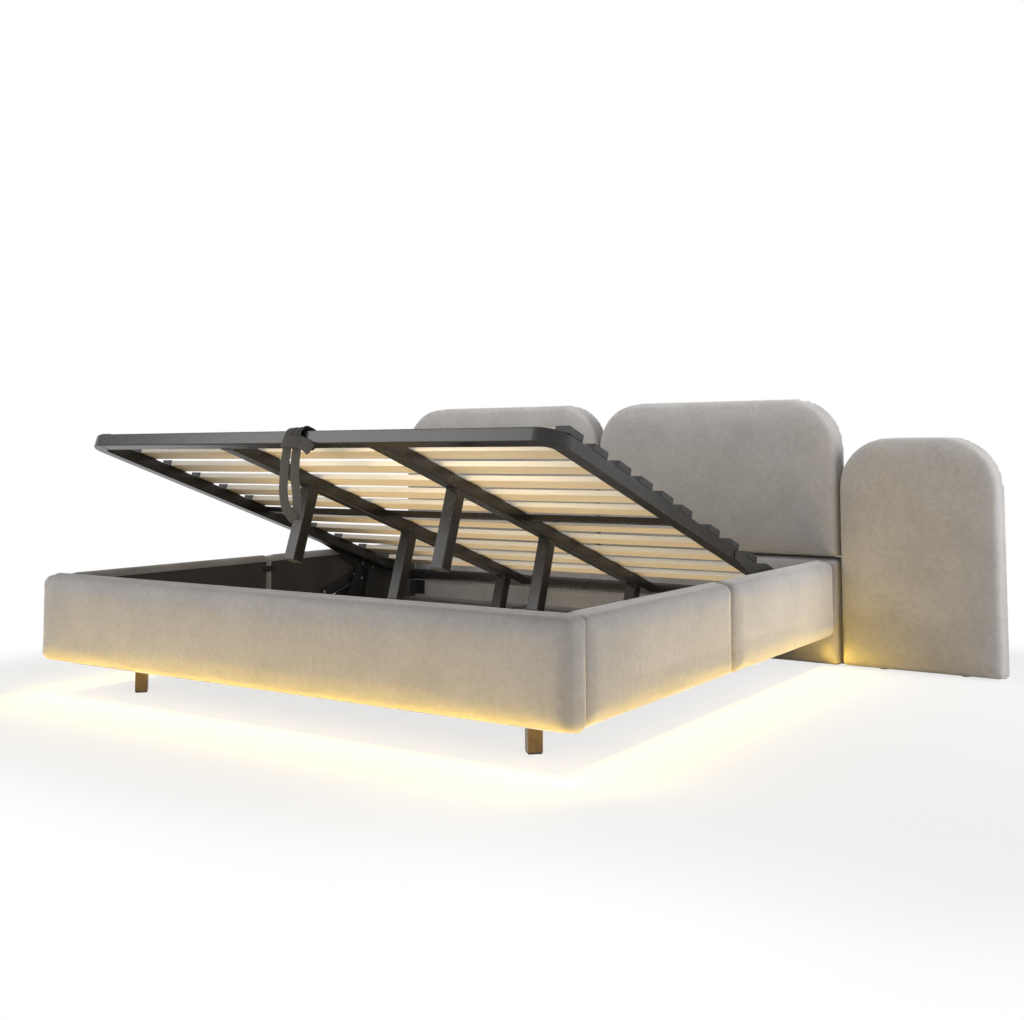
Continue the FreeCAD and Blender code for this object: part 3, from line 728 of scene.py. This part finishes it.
def fitBolts():
    shape = Shape()
    for middle, half in boxesOf("lift_plate_bolts", bedAxes):
        inward = 1 if middle[0] < bedX else -1
        spot = Vector((middle[0] - inward * half[0], middle[1], middle[2]))
        shape.add(*loft(headRings(spot, Vector((inward, 0, 0)), half[1], "bolt")))
    piece = newPiece("lift_plate_bolt_heads", shape.mesh("lift_plate_bolt_heads"), "zinc_steel", "bed_base")
    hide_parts("lift_plate_bolts")


def fitScrews():
    shape = Shape()
    leaf, edge = heads["leaf"], heads["edge"]

    def screw(spot, way):
        shape.add(*loft(headRings(Vector(spot), Vector(way), heads["screwRadius"], "screw")))

    for middle, half in boxesOf("corner_brackets", bedAxes):
        m, h = Vector(middle), Vector(half)
        inX = 1 if m.x < bedX else -1
        inY = 1 if m.y < 0 else -1
        for up in (-1, 1):
            z = m.z + up * (h.z - edge)
            screw((m.x - inX * (h.x - leaf), m.y + inY * (h.y - edge), z), (inX, 0, 0))
            screw((m.x + inX * (h.x - edge), m.y - inY * (h.y - leaf), z), (0, inY, 0))
    for middle, half in boxesOf("rail_joint_plates", bedAxes):
        m, h = Vector(middle), Vector(half)
        inX = 1 if m.x < bedX else -1
        for side in (-1, 1):
            screw((m.x + inX * h.x, m.y + side * (h.y - edge), m.z), (inX, 0, 0))
    newPiece("bracket_screws", shape.mesh("bracket_screws"), "black_steel", "bed_base")


# weld beads where the deck's tubes meet
welds = {"bead": 0.0016, "butt": 0.0008, "ripple": 0.22, "round": 0.004, "pitch": 0.0035, "around": 6, "arc": 6}


# a rippled bead round a tube's rounded outline
def weldRing(middle, wayA, wayB, halfA, halfB, bead):
    r = welds["round"]
    corners = ((1, 1, 0), (-1, 1, 90), (-1, -1, 180), (1, -1, 270))
    path = []
    for sa, sb, start in corners:
        centre = middle + wayA * (sa * (halfA - r)) + wayB * (sb * (halfB - r))
        turn = [math.radians(start + 90 * k / welds["arc"]) for k in range(welds["arc"] + 1)]
        path += [centre + wayA * (r * math.cos(a)) + wayB * (r * math.sin(a)) for a in turn]
    fine = []
    for p, q in zip(path, path[1:] + path[:1]):
        parts = max(1, round((q - p).length / welds["pitch"]))
        fine += [p.lerp(q, k / parts) for k in range(parts)]
    normal = wayA.cross(wayB).normalized()
    step = 2 * math.pi / welds["around"]
    rings = []
    for i, p in enumerate(fine):
        outward = (p - middle).normalized()
        size = bead * (1 + welds["ripple"] * (1 if i % 2 else -1))
        rings.append([p + outward * (size * math.cos(k * step)) + normal * (size * math.sin(k * step))
                      for k in range(welds["around"])])
    return loft(rings, closed=True)


def weldTubes():
    shape = Shape()
    jobs = (("support_legs", 2, (1,), "bead"), ("deck_beams", 1, (-1, 1), "bead"),
            ("crossbar", 0, (-1, 1), "bead"), ("foot_tube", 0, (-1, 1), "butt"),
            ("head_tube", 0, (-1, 1), "bead"))
    for name, length, ends, size in jobs:
        a, b = [i for i in range(3) if i != length]
        for middle, half in boxesOf(name, deckAxes):
            for end in ends:
                spot = list(middle)
                spot[length] += end * half[length]
                shape.add(*weldRing(fromDeck(*spot), deckAxes[a], deckAxes[b], half[a], half[b], welds[size]))
    newPiece("tube_welds", shape.mesh("tube_welds"), "deck_steel", "platform")


fitBolts()
fitScrews()
weldTubes()
print("bolts, screws and welds in place")


# the record says which slot paints each CAD node
def paintNodes():
    for part in frame["record"]["subparts"]:
        shape = nodes[part["node"]].data
        shape.materials.clear()
        shape.materials.append(finishes[part["material_slot"]])


paintNodes()
print("CAD nodes painted")


# floor, backdrop and light
studio = {"world": 0.03, "floor": (0.72, 0.72, 0.717), "floorDark": (0.6, 0.6, 0.597), "floorSize": 40.0,
          "haze": 0.76, "whiteFrom": 0.45, "whiteTo": 1.0}
lamps = {
    "softTop": {"at": (0.3, 0.78, 1.45), "to": (0.3, 0.78, 0.0), "size": (4.4, 0.3), "power": 13.5,
                "shine": False},
    "softFront": {"at": (-0.7, -4.2, 1.2), "to": (-0.1, -1.1, 0.35), "size": (2.6, 1.2), "power": 34.0,
                  "shine": False},
    "softLeft": {"at": (-2.3, -3.4, 2.4), "to": (-0.3, -1.1, 0.4), "size": (2.4, 2.0), "power": 60.0},
    "softRight": {"at": (4.6, 1.2, 1.5), "to": (0.8, 0.0, 0.3), "size": (3.0, 2.0), "power": 152.0,
                  "shine": False},
    "softCorner": {"at": (1.7, -2.7, 0.5), "to": (0.7, -1.1, 0.2), "size": (0.8, 0.5), "power": 2.2,
                   "shine": False},
    "softFloor": {"at": (1.3, -2.1, 1.3), "to": (1.3, -2.1, 0.0), "size": (1.3, 0.9), "power": 5.0,
                  "shine": False, "spread": 70.0},
}
# strips under the rails, their power for each two metres
warm = {"tint": (1.0, 0.65, 0.07), "power": {"warmFoot": 12.5, "warmRight": 8.6, "warmLeft": 4.5},
        "under": 0.016, "in": 0.087, "width": 0.028, "dip": 36.0, "short": 0.03, "spread": 90.0}
# their light thrown back inside, placed from the top of the foot rail's front at its middle
pale = (1.0, 0.84, 0.58)
bounces = {
    "warmInside": {"off": (0.28, 1.22425, -0.2), "way": (0, 0, 1), "size": (1.8, 1.9), "power": 7.2,
                   "spread": 90.0, "tint": pale},
    "warmSlats": {"off": (0.35, -0.5, 0.412), "way": (-0.15, 1, -0.16), "size": (1.1, 0.06), "power": 1.7,
                  "spread": 50.0, "shine": False, "tint": pale},
    "warmPosts": {"off": (0, 0.087, -0.32), "way": (0, 1, -0.6), "size": (2.17, 0.028), "power": 0.6,
                  "tint": warm["tint"]},
    "warmBox": {"off": (-0.3, 0.5, -0.14), "way": (0, 0.3, 1), "size": (0.9, 0.25), "power": 0.5,
                "tint": warm["tint"]},
}


# how far a point of the floor lies outside the part's box
def outside(f):
    low, high = cadBox
    middle = ((low[0] + high[0]) / 2, (low[1] + high[1]) / 2, 0)
    half = ((high[0] - low[0]) / 2, (high[1] - low[1]) / 2, 0)
    spot = f.node("VectorMath", {"operation": "SUBTRACT"}, {0: f.place((1, 1, 0)), 1: middle})
    spot = f.node("VectorMath", {"operation": "ABSOLUTE"}, {0: spot})
    spot = f.node("VectorMath", {"operation": "SUBTRACT"}, {0: spot, 1: half})
    spot = f.node("VectorMath", {"operation": "MAXIMUM"}, {0: spot, 1: (0, 0, 0)})
    return f.node("VectorMath", {"operation": "LENGTH"}, {0: spot}, "Value")


# floor: keeps a soft shadow and the warm light, and runs out to white
def layFloor():
    f = Finish("paleFloor")
    cloud = f.noise(f.place(), 3.0, 2.0)
    tint = f.mix(cloud * 0.05, studio["floor"], studio["floorDark"])
    matt = f.node("BsdfDiffuse", {}, {"Color": tint})
    white = f.node("Emission", {}, {"Color": (1, 1, 1, 1), "Strength": 1.0})
    seen = f.node("LightPath", out="Is Camera Ray") + f.node("LightPath", out="Is Glossy Ray")
    fade = f.rise(outside(f), studio["whiteFrom"], studio["whiteTo"])
    share = fade * (1 - studio["haze"]) + studio["haze"]
    f.output(f.node("MixShader", {}, {0: share * seen.clamped(), 1: matt, 2: white}))
    half = studio["floorSize"] / 2
    corners = [(-half, -half, 0), (half, -half, 0), (half, half, 0), (-half, half, 0)]
    floor = bpy.data.objects.new("studio_floor", meshOf("studio_floor", corners, [(0, 1, 2, 3)]))
    floor.data.materials.append(f.block)
    scene.collection.objects.link(floor)


# white to the eye and in reflections, softer as a light
def lightWorld():
    f = Finish("paleStudio", "worlds")
    scene.world = f.block
    rays = ("Is Camera Ray", "Is Glossy Ray", "Is Transmission Ray")
    path = [f.node("LightPath", out=ray) for ray in rays]
    seen = (path[0] + path[1] + path[2]).clamped()
    level = seen * (1 - studio["world"]) + studio["world"]
    back = f.node("Background", {}, {"Color": (1, 1, 1, 1), "Strength": level})
    f.node("OutputWorld", {}, {"Surface": back})


def addLamp(name, lamp):
    light = bpy.data.lights.new(name, "AREA")
    light.shape = "RECTANGLE"
    light.size, light.size_y = lamp["size"]
    light.energy = lamp["power"]
    light.color = lamp.get("tint", (1, 1, 1))
    light.spread = math.radians(lamp.get("spread", 180.0))
    holder = bpy.data.objects.new(name, light)
    scene.collection.objects.link(holder)
    holder.visible_camera = False
    holder.visible_glossy = lamp.get("shine", True)
    holder.location = lamp["at"]
    aim = Vector(lamp["to"]) - Vector(lamp["at"])
    upright = abs(aim.z) < aim.length * 0.9
    holder.rotation_euler = aim.to_track_quat("-Z", "Y" if upright else "X").to_euler()


# warm strips throw their light outwards along the floor
def addWarmLight():
    low, high = [Vector(c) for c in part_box("foot_rail_cover")]
    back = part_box("headboard_base_cover")[0][1]
    z = low.z - warm["under"]
    dip = math.tan(math.radians(warm["dip"]))
    side = back - low.y - warm["short"]
    runs = {
        "warmFoot": (Vector((bedX, low.y + warm["in"], z)), Vector((0, -1, -dip)), high.x - low.x),
        "warmRight": (Vector((high.x - warm["in"], low.y + side / 2, z)), Vector((1, 0, -dip)), side),
        "warmLeft": (Vector((low.x + warm["in"], low.y + side / 2, z)), Vector((-1, 0, -dip)), side),
    }
    for name, (at, way, run) in runs.items():
        addLamp(name, {"at": at, "to": at + way, "size": (run, warm["width"]), "tint": warm["tint"],
                       "power": warm["power"][name] * run / 2, "spread": warm["spread"]})
    corner = Vector((bedX, low.y, high.z))
    for name, lamp in bounces.items():
        at = corner + Vector(lamp["off"])
        addLamp(name, dict(lamp, at=at, to=at + Vector(lamp["way"])))


# the photograph's camera
view = {"at": (2.3472, -3.7822, 0.8170), "turn": (94.21, 0.0, 33.13), "lens": 42.51, "shiftY": -0.136}


def addCamera():
    camera = bpy.data.cameras.new("photoView")
    camera.lens = view["lens"]
    camera.shift_y = view["shiftY"]
    camera.clip_end = 100.0
    holder = bpy.data.objects.new("photoView", camera)
    holder.location = view["at"]
    holder.rotation_euler = [math.radians(a) for a in view["turn"]]
    scene.collection.objects.link(holder)
    scene.camera = holder


layFloor()
lightWorld()
for name, lamp in lamps.items():
    addLamp(name, lamp)
addWarmLight()
addCamera()
scene.view_settings.view_transform = "Standard"
print("studio ready")
